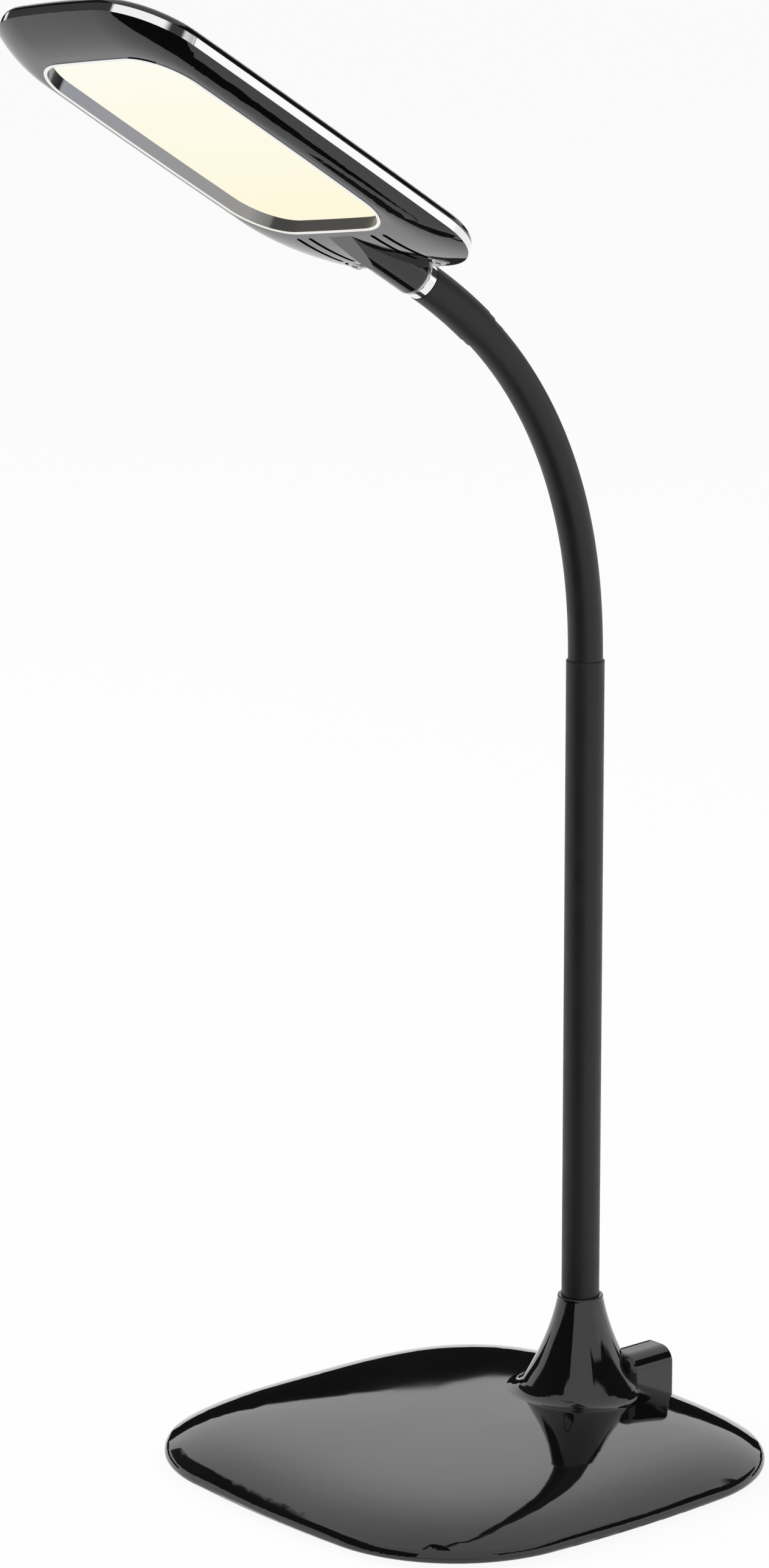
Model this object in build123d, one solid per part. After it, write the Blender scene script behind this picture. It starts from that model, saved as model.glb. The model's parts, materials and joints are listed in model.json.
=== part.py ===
"""Gooseneck LED desk lamp, in millimetres.

Frame: +Z up, -Y towards the light head, origin in the middle of the rubber pad's underside.
The arm stands behind the middle of the base, rises through a straight sleeve and bends
forwards in a chain of short links. The light head sits on the end of the chain.
"""
import os
from math import atan2, cos, degrees, radians, sin, sqrt, tan

from build123d import *

os.makedirs("parts", exist_ok=True)

# ---------------------------------------------------------------- clearances
seat_gap = 0.05        # between two round pieces of one body
slide_gap = 0.3        # between housings that drop into each other
swivel_gap = 0.05      # running fit of the head on its spigot

big = 400.0            # side of a block that only cuts other shapes

# ---------------------------------------------------------------- base
base_side = 172.0      # plan size, side to side
base_corner = 52.0     # plan corner radius
base_bow = 7.0         # how far each side bows out
crown_flat = 2.6       # fall of the top's flat bowl, from its middle to the sides
crown_edge = 7.0       # further fall of its rounded shoulders
crown_power = 8.3      # how late the shoulders begin
crown_square = 3.2     # 2 makes the top's contour lines circles, more makes them squarer
crown_steps = 28       # steps of the top's surface along each side
crown_margin = 6.0     # how much wider its square is than the base
crown_depth = 10.0     # how far its body reaches below the floor
base_rim = 3.0         # rounding of the upper rim
base_foot_round = 1.5  # rounding of the lower rim
collar_rim = 0.5       # rounding of the collar's edge
port_edge = 0.8        # rounding of the rear face's edge
base_wall = 2.2
pad_thick = 1.2
pad_inset = 5.0
plate_thick = 2.0
plate_lip = 1.1        # wall left beside the bottom plate
ballast_width = 116.0
ballast_depth = 128.0
ballast_thick = 2.8
ballast_corner = 30.0
head_room = 6.1        # free height between the ballast and the shell's middle
stem_inset = 35.2      # arm axis in from the rear side
post_inset = 26.0      # screw posts in from the sides
post_r = 3.2
post_hole_r = 1.25
screw_hole_r = 1.7     # clearance hole in the bottom plate
sink_r = 2.9           # round sink for the screw head
sink_depth = 1.0
base_screw_head_r = 2.6
base_screw_r = 1.2
post_roof = 0.8        # left above each post's hole
board_width = 40.0     # control board, in a window of the ballast
board_depth = 22.0
board_thick = 1.2
board_lift = 1.0       # height of its standoffs
board_y = 6.0
standoff_r = 1.6
window_margin = 1.5
touch_inset = 38.0     # touch sensor in from the front side
film_length = 56.0
film_width = 16.0
film_corner = 5.0
film_thick = 0.15

# ---------------------------------------------------------------- arm
sleeve_r = 6.25
sleeve_wall = 0.5
sleeve_top = 260.8
sleeve_start = 33.0    # lower end, inside the collar
collar_top = 46.0
collar_gap = 0.2       # dark ring between collar and sleeve
collar_wall = 1.15
flare_upper_r = 79.0   # long hollow curve of the cone
flare_lower_r = 6.0    # tight curve where it runs out on the base
flare_top_angle = 11.0
flare_mid_angle = 33.0
flare_mid_height = 17.0
flare_buried = 12.0    # how far the steep cone runs on inside the base plate
tube_wall = 1.1
tube_top = 232.0
socket_wall = 1.85
socket_floor = 1.0
flange_r = 20.0
flange_thick = 2.5
flange_hole_r = 1.6
socket_hole_ring = 14.0
socket_screw_r = 1.25
socket_screw_head_r = 2.7
socket_screw_grip = 1.8
socket_screw_head_h = 1.6
ballast_skin = 0.8     # ballast left under each socket screw's hole
cable_r = 1.5
root_overlap = 14.0    # length of the chain's root inside the tube

cover_r = 5.67         # rubber skin of the flexible part
cover_wall = 0.75
link_r = 4.87
ball_r = 4.2
ball_gap = 0.1
wire_bore = 1.7
joint_gap = 2.0        # bare length at each joint
joint_count = 10
bend_length = 122.7
bend_angle = 46.2      # heading of the chain's end, from the vertical
bend_power = 1.217     # 1 is a plain arc, more bends later
cuff_length = 27.8
cuff_turn = 9.84
cuff_r = 6.25
cuff_tip_r = 6.05
cuff_tip_length = 3.0
ring_r = 6.1
ring_length = 3.1
ring_edge = 0.25       # small chamfer on both rims
arm_turn = 5.4         # arm swung from straight ahead, towards -X

# ---------------------------------------------------------------- head, in its own frame
# x across, -y towards the free tip, z up; origin in the middle of the light opening
head_half = 42.0
head_front = 72.0
head_rear = 86.0
head_corner = 24.0
head_bow = 2.5
head_side_bow = 1.0
head_roll = 10.47
neck_height = 3.8      # spigot axis above the lip plane
ring_start = 89.2      # ring face behind the opening's middle
band_low = 5.3
band_high = 7.9
band_thick = 1.2
band_gap = 0.2         # between the bright band and the housings inside it
upstand_drop = 0.4     # how far the lower housing's upstand stays below the band's top
cover_top = 11.2
crown_step = 0.15      # cover's edge in from the bright band
crown_sections = ((0.0, 0.0), (0.45, 0.35), (0.80, 2.4), (1.0, 9.0))  # share of the rise, inset
head_wall = 1.6
dish_out = 0.66        # how far out the middle section of the underside lies
dish_up = 0.40         # how far up it lies
dish_extra = 0.6       # the sloping sides' wall is this much thicker, seen from above
open_half_length = 51.9
open_half_width = 32.4
open_corner = 16.0
open_bow = 0.9
open_end_bow = 0.55
lip_margin = 1.3       # flat margin round the opening
bezel_wall = 0.8
bezel_flange = 1.1
bezel_proud = 0.3
recess_depth = 4.0
ledge = 2.4            # width of the rim that carries the diffuser
diffuser_margin = 2.2  # how far the diffuser reaches under its rim
diffuser_thick = 1.5
guide_thick = 2.0
reflector_thick = 0.3
spreader_thick = 0.8
stack_gap = 0.2        # play beside the sheets above the opening
led_strip_thick = 0.8
led_size = 1.4
led_depth = 0.6
leds_per_side = 12
led_span_short = 20.0  # how much shorter each end of an LED strip is than the opening
vent_inner_x = 14.8
vent_pitch = 5.7
vent_start = 56.0
vent_end = 75.5
vent_width = 1.9
screw_x = 19.9
screw_y = 80.0
recess_r = 3.4
pocket_top = 4.6
boss_wall = 1.2
cover_boss_r = 2.9
head_screw_r = 1.1
head_screw_head_r = 2.4
head_screw_length = 4.6
head_screw_head_h = 1.5
head_screw_play = 0.2  # round the screws in the lower housing
shroud_r = 6.6
shroud_end = 88.2
shroud_edge = 0.8      # rounding of its rear rim
ramp_start = 56.0
ramp_end = 72.0
spigot_r = 4.6
spigot_bore_r = 3.0
spigot_end = 70.5
shoulder_gap = 0.15    # between the spigot's shoulder and the shroud
clip_back = 2.2        # spring clip, in from the spigot's tip
clip_thick = 0.8
clip_depth = 0.6       # depth of its groove
clip_stand = 0.7       # how far it stands out of the groove
clip_mouth = 3.0
clip_room = 0.3

# ---------------------------------------------------------------- rear port housing
port_x = 9.6           # middle of the housing, to the right of the arm axis
port_half = 7.45
port_top = 25.84
port_corner = 5.2      # shoulders
port_front = 8.0       # front face behind the arm axis
port_front_edge = 2.5
port_back = 26.5       # rear face behind the arm axis
port_z = 15.6          # height of the inlet
inlet_depth = 12.0     # from the rear face to the small board
jack_r = 3.9
jack_bore_r = 2.8
jack_pin_r = 1.0
jack_length = 11.0
jack_floor = 1.5
jack_pin_short = 0.8
port_board_thick = 1.4
port_board_height = 11.0
port_board_side = 1.0
terminal_side = 5.0

# ---------------------------------------------------------------- worked out from the sizes above
stem_y = base_side / 2 - stem_inset
post_offset = base_side / 2 - post_inset
touch_y = touch_inset - base_side / 2
plate_top = pad_thick + plate_thick
ballast_top = plate_top + ballast_thick
base_top = ballast_top + head_room + base_wall
tube_r = sleeve_r - sleeve_wall - seat_gap
collar_r = sleeve_r + collar_gap + collar_wall
link_pitch = bend_length / joint_count
guide_margin = diffuser_margin - led_strip_thick - led_depth - stack_gap
upstand_inset = band_thick + band_gap
screw_posts = [(sx * post_offset, sy * post_offset) for sx in (-1, 1) for sy in (-1, 1)]
flange_angles = [radians(angle) for angle in (-90, 30, 150)]
socket_holes = [(socket_hole_ring * cos(a), socket_hole_ring * sin(a)) for a in flange_angles]


# ================================================================ plain helpers
def bowed_plate(half, front, back, corner, side_bow, end_bow, inset=0.0):
    """Flat outline with bowed sides and round corners, drawn from y=-front to y=back."""
    x, f, b = half - inset, -(front - inset), back - inset
    xc, fc, bc, mid = x - side_bow, f + end_bow, b - end_bow, (f + b) / 2
    edges = [
        ThreePointArc((-xc, fc), (0, f), (xc, fc)),
        ThreePointArc((xc, fc), (x, mid), (xc, bc)),
        ThreePointArc((xc, bc), (0, b), (-xc, bc)),
        ThreePointArc((-xc, bc), (-x, mid), (-xc, fc)),
    ]
    face = make_face(edges)
    return fillet(face.vertices(), max(corner - inset, 1.0))


def slab(outline, low, high):
    """A flat outline raised from low to high."""
    return Pos(0, 0, low) * extrude(outline, high - low)


def rod(radius, low, high, x=0.0, y=0.0):
    return Pos(x, y, (low + high) / 2) * Cylinder(radius, high - low)


def tube(outer, inner, low, high, x=0.0, y=0.0):
    return rod(outer, low, high, x, y) - rod(inner, low - 1, high + 1, x, y)


def screw(head_r, head_h, shank_r, shank_length):
    """Pan-head screw, head up, its bearing face at z=0."""
    body = rod(head_r, 0, head_h) + rod(shank_r, -shank_length, 0)
    body = fillet(body.edges().filter_by(GeomType.CIRCLE).group_by(Axis.Z)[-1], head_h * 0.35)
    cross = Box(head_r * 1.1, 0.5, 1.0) + Box(0.5, head_r * 1.1, 1.0)
    return body - Pos(0, 0, head_h) * cross


def save(node, *solids):
    """One STEP file for each node."""
    shape = solids[0] if len(solids) == 1 else Compound(children=list(solids))
    export_step(shape, f"parts/{node}.step")


# ================================================================ base
def base_outline(inset=0.0):
    half = base_side / 2
    return bowed_plate(half, half, half, base_corner, base_bow, base_bow, inset)


def crown_height(x, y):
    """Height of the pillow-shaped top: a flat bowl turned over, with shoulders round its sides."""
    half = base_side / 2
    share = (abs(x / half) ** crown_square + abs(y / half) ** crown_square) ** (1 / crown_square)
    fall = crown_flat * share**2 + crown_edge * share**crown_power
    if share > 1:
        fall = crown_flat + crown_edge + (share - 1) * (2 * crown_flat + crown_power * crown_edge)
    return base_top - fall


def crown_body(drop=0.0):
    """Everything under the top's surface, lowered by drop, in a square a little wider than the base."""
    reach = base_side / 2 + crown_margin
    grid = [reach * (2 * i / crown_steps - 1) for i in range(crown_steps + 1)]
    top = Face.make_surface_from_array_of_points([[(x, y, crown_height(x, y)) for y in grid] for x in grid])
    return Pos(0, 0, -drop) * extrude(top, amount=base_top + crown_depth, dir=(0, 0, -1))


def shell_under(x, y):
    """Height of the shell's inner face at a place."""
    return crown_height(x, y) - base_wall


def cone_solid():
    """Flared cone round the stem axis, a hollow arc that runs on straight into the base."""
    a, b = radians(flare_top_angle), radians(flare_mid_angle)
    foot_r = collar_r + flare_upper_r * (cos(a) - cos(b))
    start_z = flare_mid_height + flare_upper_r * (sin(b) - sin(a))
    half = (a + b) / 2
    arc_mid_r = collar_r + flare_upper_r * (cos(a) - cos(half))
    arc_mid = (arc_mid_r, start_z - flare_upper_r * (sin(half) - sin(a)))
    foot = (foot_r, flare_mid_height)
    below = (foot_r + flare_buried * tan(b), flare_mid_height - flare_buried)
    edges = [
        ThreePointArc((collar_r, start_z), arc_mid, foot),
        Line(foot, below),
        Line(below, (0, below[1])),
        Line((0, below[1]), (0, collar_top)),
        Line((0, collar_top), (collar_r, collar_top)),
        Line((collar_r, collar_top), (collar_r, start_z)),
    ]
    cone = revolve(Plane.XZ * make_face(edges), Axis.Z)
    return fillet(cone.edges().filter_by(GeomType.CIRCLE).group_by(Axis.Z)[-1], collar_rim)


def base_solid():
    """Crowned plate with rounded rims; the cone runs out on it in a round hollow."""
    plate = slab(base_outline(), pad_thick, base_top + 1) & crown_body()
    plate = fillet(plate.edges().filter_by(is_top_rim), base_rim)
    plate = fillet(plate.edges().group_by(Axis.Z)[0], base_foot_round)
    body = plate + Pos(0, stem_y, 0) * cone_solid()
    return fillet(body.edges().filter_by(is_foot_seam), flare_lower_r)


def is_top_rim(edge):
    """An edge of the plate's upper rim, wholly above its straight foot."""
    box = edge.bounding_box()
    return box.min.Z > pad_thick + 1


def is_foot_seam(edge):
    """The curve where the cone meets the plate: the only wide one that closes round the stem."""
    box = edge.bounding_box()
    middle = box.center()
    round_stem = abs(middle.X) < collar_r and abs(middle.Y - stem_y) < collar_r
    return round_stem and box.size.X > 2 * collar_r + 2 and middle.Z < base_top


def cone_cavity():
    """Room inside the cone for the socket, its slanted wall inside the flare."""
    low, high = plate_top, sleeve_start + slide_gap
    wide = flange_r + 1.5
    narrow = tube_r + socket_wall + 2 * slide_gap
    shoulder = ballast_top + flange_thick + 1.0
    points = [(0, low), (wide, low), (wide, shoulder), (narrow, high), (0, high)]
    return revolve(Plane.XZ * make_face(Polyline(*points, close=True)), Axis.Z)


def port_block(inset=0.0):
    """Round-shouldered housing of the power inlet, from inside the cone to its rear face."""
    half, top = port_half - inset, port_top - inset
    with_corners = Pos(0, top / 2) * RectangleRounded(2 * half, top, max(port_corner - inset, 1.0))
    foot = Pos(0, top / 4) * Rectangle(2 * half, top / 2)
    section = Plane.XZ * (with_corners + foot)
    block = Pos(port_x, port_back - inset, 0) * extrude(section, port_back - port_front - 2 * inset)
    return block & Pos(0, 0, plate_top + big / 2) * Box(big, big, big)


def port_outside():
    block = port_block()
    front = block.edges().filter_by(lambda e: e.center().Y < port_front + 0.01)
    block = fillet(front.filter_by(lambda e: e.center().Z > plate_top + 0.01), port_front_edge)
    rear = block.edges().filter_by(lambda e: e.center().Y > port_back - 0.01)
    return fillet(rear.filter_by(lambda e: e.center().Z > plate_top + 0.01), port_edge)


def base_shell():
    body = base_solid() + Pos(0, stem_y, 0) * port_outside()
    body -= slab(base_outline(base_wall), 0, base_top) & crown_body(base_wall)
    body -= slab(base_outline(plate_lip), 0, plate_top)
    body -= Pos(0, stem_y, 0) * (cone_cavity() + port_block(base_wall))
    body -= rod(sleeve_r + collar_gap, plate_top, collar_top + 1, y=stem_y)
    rear = stem_y + port_back
    body -= Pos(port_x, rear, port_z) * Rot(90, 0, 0) * Cylinder(jack_r + seat_gap, 2 * base_wall + 1)
    for x, y in screw_posts:
        body += rod(post_r, plate_top, shell_under(x, y) + base_wall / 2, x, y)
        body -= rod(post_hole_r, 0, shell_under(x, y) + base_wall - post_roof, x, y)
    return body


def base_pieces():
    save("base_shell", base_shell())
    plate = slab(base_outline(plate_lip + slide_gap), pad_thick, plate_top)
    for x, y in screw_posts:
        plate -= rod(screw_hole_r, pad_thick - 1, plate_top + 1, x, y)
        plate -= rod(sink_r, pad_thick - 1, pad_thick + sink_depth, x, y)
    save("bottom_plate", plate)
    save("rubber_pad", slab(base_outline(pad_inset), 0, pad_thick))
    seat = pad_thick + sink_depth
    reach = shell_under(post_offset, post_offset) - seat
    up = Rot(180, 0, 0) * screw(base_screw_head_r, sink_depth - 0.1, base_screw_r, reach)
    save("base_screws", *[Pos(x, y, seat) * up for x, y in screw_posts])

    outline = RectangleRounded(ballast_width, ballast_depth, ballast_corner)
    ballast = slab(outline, plate_top, ballast_top)
    for x, y in socket_holes:
        low = plate_top + ballast_skin
        ballast -= rod(socket_screw_r + seat_gap, low, ballast_top + 1, x, y + stem_y)
    window = Rectangle(board_width + 2 * window_margin, board_depth + 2 * window_margin)
    save("ballast_weight", ballast - slab(Pos(0, board_y) * window, 0, ballast_top + 1))
    socket_pieces()
    board_pieces()


def socket_pieces():
    """Steel socket that holds the upright tube, screwed down on the ballast."""
    outer_r = tube_r + seat_gap + socket_wall
    flange_top = ballast_top + flange_thick
    socket = rod(flange_r, ballast_top, flange_top) + rod(outer_r, ballast_top, sleeve_start)
    socket -= rod(tube_r + seat_gap, ballast_top + socket_floor, sleeve_start + 1)
    socket -= rod(cable_r + 1.0, ballast_top - 1, sleeve_start + 1)
    for x, y in socket_holes:
        socket -= rod(flange_hole_r, ballast_top - 1, flange_top + 1, x, y)
    save("stem_socket", Pos(0, stem_y, 0) * socket)
    reach = flange_thick + socket_screw_grip
    fastener = screw(socket_screw_head_r, socket_screw_head_h, socket_screw_r, reach)
    save("socket_screws", *[Pos(x, y + stem_y, flange_top) * fastener for x, y in socket_holes])


def board_pieces():
    """Control board in the ballast's window, and the touch sensor under the top."""
    low = plate_top + board_lift
    reach = board_width / 2 - 2 * standoff_r
    standoffs = [rod(standoff_r, plate_top, low, x, board_y) for x in (-reach, reach)]
    save("board_standoffs", *standoffs)
    board = Box(board_width, board_depth, board_thick)
    save("control_board", Pos(0, board_y, low + board_thick / 2) * board)
    film_top = shell_under(film_length / 2, abs(touch_y) + film_width / 2) - seat_gap
    outline = Pos(0, touch_y) * RectangleRounded(film_length, film_width, film_corner)
    save("touch_film", slab(outline, film_top - film_thick, film_top))
    save("touch_foam", slab(outline, ballast_top, film_top - film_thick))


def port_pieces():
    """Power inlet behind the rear face, and the small board that carries it."""
    face = stem_y + port_back
    lay = Pos(port_x, face, port_z) * Rot(90, 0, 0)
    barrel = rod(jack_r, 0, jack_length) - rod(jack_bore_r, -1, jack_length - jack_floor)
    save("power_inlet", lay * barrel)
    save("inlet_pin", lay * rod(jack_pin_r, jack_pin_short, jack_length - jack_floor))
    stub = Box(terminal_side, inlet_depth - jack_length, terminal_side)
    save("inlet_terminal", Pos(port_x, face - (inlet_depth + jack_length) / 2, port_z) * stub)
    board = Box(2 * (port_half - base_wall - port_board_side), port_board_thick, port_board_height)
    save("port_board", Pos(port_x, face - inlet_depth - port_board_thick / 2, port_z) * board)


# ================================================================ arm
def heading(distance):
    """Angle from the vertical at a distance along the bend, in degrees."""
    return bend_angle * (max(distance, 0.0) / bend_length) ** bend_power


def joint_places():
    """Joint centres in the arm's plane as (forward, height), and the heading of each link above."""
    forward, height = 0.0, sleeve_top + link_pitch / 2
    places, headings = [], []
    for i in range(joint_count):
        angle = heading((i + 1) * link_pitch) if i < joint_count - 1 else bend_angle
        places.append((forward, height))
        headings.append(angle)
        forward += link_pitch * sin(radians(angle))
        height += link_pitch * cos(radians(angle))
    return places, headings


def in_arm_plane(forward, height, angle):
    """Place with z along the link's heading, x still across the arm."""
    turned = Pos(0, stem_y, 0) * Rot(0, 0, -arm_turn)
    return turned * Pos(0, -forward, height) * Rot(angle, 0, 0)


def link_core(length):
    """Steel link: ball at z=0, cup at z=length, bored for the wires."""
    shoulder = joint_gap / 2
    body = rod(link_r, shoulder, length - shoulder) + Sphere(ball_r)
    body -= Pos(0, 0, length) * Sphere(ball_r + ball_gap)
    return body - rod(wire_bore, -ball_r - 1, length + 1)


def link_cover(length):
    return tube(cover_r, link_r + seat_gap, joint_gap / 2, length - joint_gap / 2)


def arm_pieces():
    places, headings = joint_places()
    at_stem = Pos(0, stem_y, 0)
    first = places[0][1]
    floor = ballast_top + socket_floor
    save("stem_sleeve", at_stem * rounded_sleeve())
    save("stem_tube", at_stem * tube(tube_r, tube_r - tube_wall, floor, tube_top))
    save("gooseneck_core_00", at_stem * root_core(first))
    root_cover = tube(cover_r, link_r + seat_gap, tube_top, first - joint_gap / 2)
    save("gooseneck_cover_00", at_stem * root_cover)
    save("stem_cable", at_stem * rod(cable_r, floor, tube_top - root_overlap / 2))
    for i in range(joint_count - 1):
        place = in_arm_plane(*places[i], headings[i])
        save(f"gooseneck_core_{i + 1:02d}", place * link_core(link_pitch))
        save(f"gooseneck_cover_{i + 1:02d}", place * link_cover(link_pitch))
    cuff_pieces(in_arm_plane(*places[-1], headings[-1]))


def root_core(first):
    """Lowest link, pushed into the upright tube; its cup carries the first ball."""
    low = tube_top - root_overlap
    body = rod(link_r, tube_top, first - joint_gap / 2)
    body += rod(tube_r - tube_wall - seat_gap, low, tube_top)
    body -= Pos(0, 0, first) * Sphere(ball_r + ball_gap)
    return body - rod(wire_bore, low - 1, first)


def rounded_sleeve():
    body = tube(sleeve_r, sleeve_r - sleeve_wall, sleeve_start, sleeve_top)
    rim = body.edges().filter_by(GeomType.CIRCLE).group_by(Axis.Z)[-1].sort_by(SortBy.RADIUS)[-1]
    return fillet(rim, sleeve_wall * 0.9)


def cuff_path():
    """Axis from the cuff's lower end to the ring, in the last link's frame."""
    start = link_pitch / 2
    radius = cuff_length / radians(cuff_turn)
    turn = radians(cuff_turn)
    mid = (0, -radius * (1 - cos(turn / 2)), start + radius * sin(turn / 2))
    end = (0, -radius * (1 - cos(turn)), start + radius * sin(turn))
    return ThreePointArc((0, 0, start), mid, end), end


def bent_rod(radius, path):
    """Round bar carried along an arc that starts along z."""
    return sweep(Pos(*(path @ 0)) * Circle(radius), path=path)


def bent_tube(outer, inner, path):
    return bent_rod(outer, path) - bent_rod(inner, path)


def cuff_pieces(place):
    """The last link: ball, bent core, cover, rubber cuff, ring and the spigot in the head."""
    path, end = cuff_path()
    start = link_pitch / 2
    tip = Pos(*end) * Rot(cuff_turn, 0, 0)
    core = Sphere(ball_r) + rod(link_r, joint_gap / 2, start) - rod(wire_bore, -ball_r - 1, start)
    core += bent_tube(link_r, wire_bore, path) + tip * tube(link_r, wire_bore, 0, ring_length)
    save("gooseneck_core_10", place * core)
    inner = link_r + seat_gap
    skin = tube(cover_r, inner, joint_gap / 2, start) + bent_tube(cover_r, inner, path)
    save("gooseneck_cover_10", place * skin)
    save("neck_cuff", place * cuff_body(path))
    save("neck_ring", place * tip * neck_ring())
    save("neck_spigot", place * tip * neck_spigot())
    save("spigot_clip", place * tip * spigot_clip())


def cuff_body(path):
    """Rubber cuff, a little narrower at its lower end."""
    above = Pos(0, 0, link_pitch / 2 + cuff_tip_length + big / 2) * Box(big, big, big)
    outside = bent_rod(cuff_tip_r, path) + (bent_rod(cuff_r, path) & above)
    return outside - bent_rod(cover_r + seat_gap, path)


def neck_ring():
    body = tube(ring_r, link_r + seat_gap, 0, ring_length)
    rims = body.edges().filter_by(GeomType.CIRCLE).filter_by(lambda e: e.radius > ring_r - 0.1)
    return chamfer(rims, ring_edge)


def along_spigot(head_y):
    """Distance from the ring's lower face to a place given in the head's frame."""
    return ring_length + ring_start - head_y


def neck_spigot():
    """Hollow pivot pin of the head, with a shoulder under the shroud and a clip groove."""
    tip = along_spigot(spigot_end)
    shoulder = along_spigot(shroud_end) - shoulder_gap
    body = tube(spigot_r, spigot_bore_r, ring_length, tip)
    body += tube(ring_r, spigot_bore_r, ring_length, shoulder)
    low, high = tip - clip_back, tip - clip_back + clip_thick
    return body - tube(spigot_r + 1, spigot_r - clip_depth, low, high)


def spigot_clip():
    """Spring clip in the spigot's groove, open on one side."""
    low = along_spigot(spigot_end) - clip_back
    clip = tube(spigot_r + clip_stand, spigot_r - clip_depth + seat_gap, low, low + clip_thick)
    return clip - Pos(0, spigot_r, low) * Box(clip_mouth, 2 * spigot_r, 4 * clip_thick)


# ================================================================ head
def head_frame():
    """Place of the head's own frame: the spigot axis lies along the cuff's end."""
    places, headings = joint_places()
    _, end = cuff_path()
    place = in_arm_plane(*places[-1], headings[-1]) * Pos(*end) * Rot(cuff_turn, 0, 0)
    on_axis = place * Pos(0, 0, ring_length) * Rot(-90, 0, 0)
    return on_axis * Rot(0, -head_roll, 0) * Pos(0, -ring_start, -neck_height)


def head_outline(inset=0.0):
    return bowed_plate(head_half, head_front, head_rear, head_corner, head_side_bow, head_bow, inset)


def opening_outline(grow=0.0):
    half, length = open_half_width, open_half_length
    return bowed_plate(half, length, length, open_corner, open_bow, open_end_bow, -grow)


def dish_section(out, up, inset=0.0):
    """Section of the dished underside: out and up run from 0 at the flat lip to 1 at the band."""
    flat = (open_half_width + lip_margin, open_half_length + lip_margin, open_half_length + lip_margin)
    full = (head_half, head_front, head_rear)
    half, front, back = (a + (b - a) * out for a, b in zip(flat, full))
    lip_corner = open_corner + lip_margin
    corner = lip_corner + (head_corner - lip_corner) * out
    end_bow = open_bow + (head_bow - open_bow) * out
    outline = bowed_plate(half, front, back, corner, head_side_bow, end_bow, inset)
    return Pos(0, 0, band_low * up) * outline


def dish_solid(inset=0.0, lift=0.0):
    steps = ((0.0, 0.0), (dish_out, dish_up), (1.0, 1.0))
    return Pos(0, 0, lift) * loft([dish_section(out, up, inset) for out, up in steps])


def lying(shape):
    """Turns a shape made along z so that it lies on the neck's axis, z pointing to the tip."""
    return Pos(0, 0, neck_height) * Rot(90, 0, 0) * shape


def shroud():
    """Round shroud over the spigot; its front is cut off by a ramp that starts in the underside."""
    body = lying(rod(shroud_r, -shroud_end, -ramp_start))
    slope = degrees(atan2(shroud_r - neck_height, ramp_end - ramp_start))
    body -= Pos(0, ramp_start, 0) * Rot(-slope, 0, 0) * Pos(0, 0, -big / 2) * Box(big, big, big)
    return fillet(body.edges().filter_by(GeomType.CIRCLE).sort_by(Axis.Y)[-1], shroud_edge)


def spigot_room():
    """Bore for the spigot, a slot from above for its clip, and the way for the wires."""
    clip_r = spigot_r + clip_stand + clip_room
    low = spigot_end + clip_back - clip_thick - clip_room
    high = spigot_end + clip_back + clip_room
    room = lying(rod(spigot_r + swivel_gap, -shroud_end - 1, -spigot_end + clip_room))
    room += lying(rod(clip_r, -high, -low))
    room += Pos(0, (low + high) / 2, neck_height + shroud_r) * Box(2 * clip_r, high - low, 2 * shroud_r)
    return room + lying(rod(wire_bore, -spigot_end - 1, -open_half_length - 4))


def bottom_shell():
    """Dished lower housing with the light opening, vents, screw pockets and neck shroud."""
    outside = dish_solid() + slab(head_outline(upstand_inset), band_low, band_high - upstand_drop)
    cavity = dish_solid(head_wall + dish_extra, head_wall)
    cavity += slab(head_outline(upstand_inset + head_wall), band_low + head_wall - 0.01, cover_top)
    ribs = slab(opening_outline(bezel_wall + ledge), 0.0, recess_depth)
    for side in (-1, 1):
        ribs += rod(recess_r + boss_wall, 0, band_high - upstand_drop, side * screw_x, screw_y)
    body = (outside - cavity) + (ribs & outside) + shroud()
    body -= slab(opening_outline(bezel_wall), -5, recess_depth + 5)
    body -= slab(opening_outline(diffuser_margin + stack_gap), recess_depth, cover_top)
    for side in (-1, 1):
        for step in (0, 1):
            body -= vent_slot(side * (vent_inner_x + step * vent_pitch))
        body -= rod(recess_r, -5, pocket_top, side * screw_x, screw_y)
        body -= rod(head_screw_r + head_screw_play, -5, cover_top, side * screw_x, screw_y)
    return body - spigot_room()


def vent_slot(x):
    length = vent_end - vent_start
    slot = Pos(x, (vent_start + vent_end) / 2) * Rot(0, 0, 90) * SlotOverall(length, vent_width)
    return slab(slot, -2, head_wall + 3.0)


def crown_solid(inset, lift):
    """Pillow-shaped top between the band and the crown, made of shrinking sections."""
    sections = []
    for rise, shrink in crown_sections:
        height = band_high + (cover_top - band_high) * rise
        sections.append(Pos(0, 0, height) * head_outline(inset + shrink))
    return Pos(0, 0, lift) * loft(sections)


def shroud_room(gap):
    return lying(rod(shroud_r + gap, -shroud_end - 5, -ramp_start + gap))


def top_cover():
    """Crowned upper housing with an arch over the neck shroud."""
    body = crown_solid(crown_step, 0.0) - crown_solid(crown_step + head_wall, -head_wall)
    for side in (-1, 1):
        x = side * screw_x
        body += rod(cover_boss_r, band_high - upstand_drop, cover_top - head_wall, x, screw_y)
        body -= rod(head_screw_r + seat_gap, band_high - 2, cover_top - head_wall, x, screw_y)
    return body - shroud_room(slide_gap)


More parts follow.
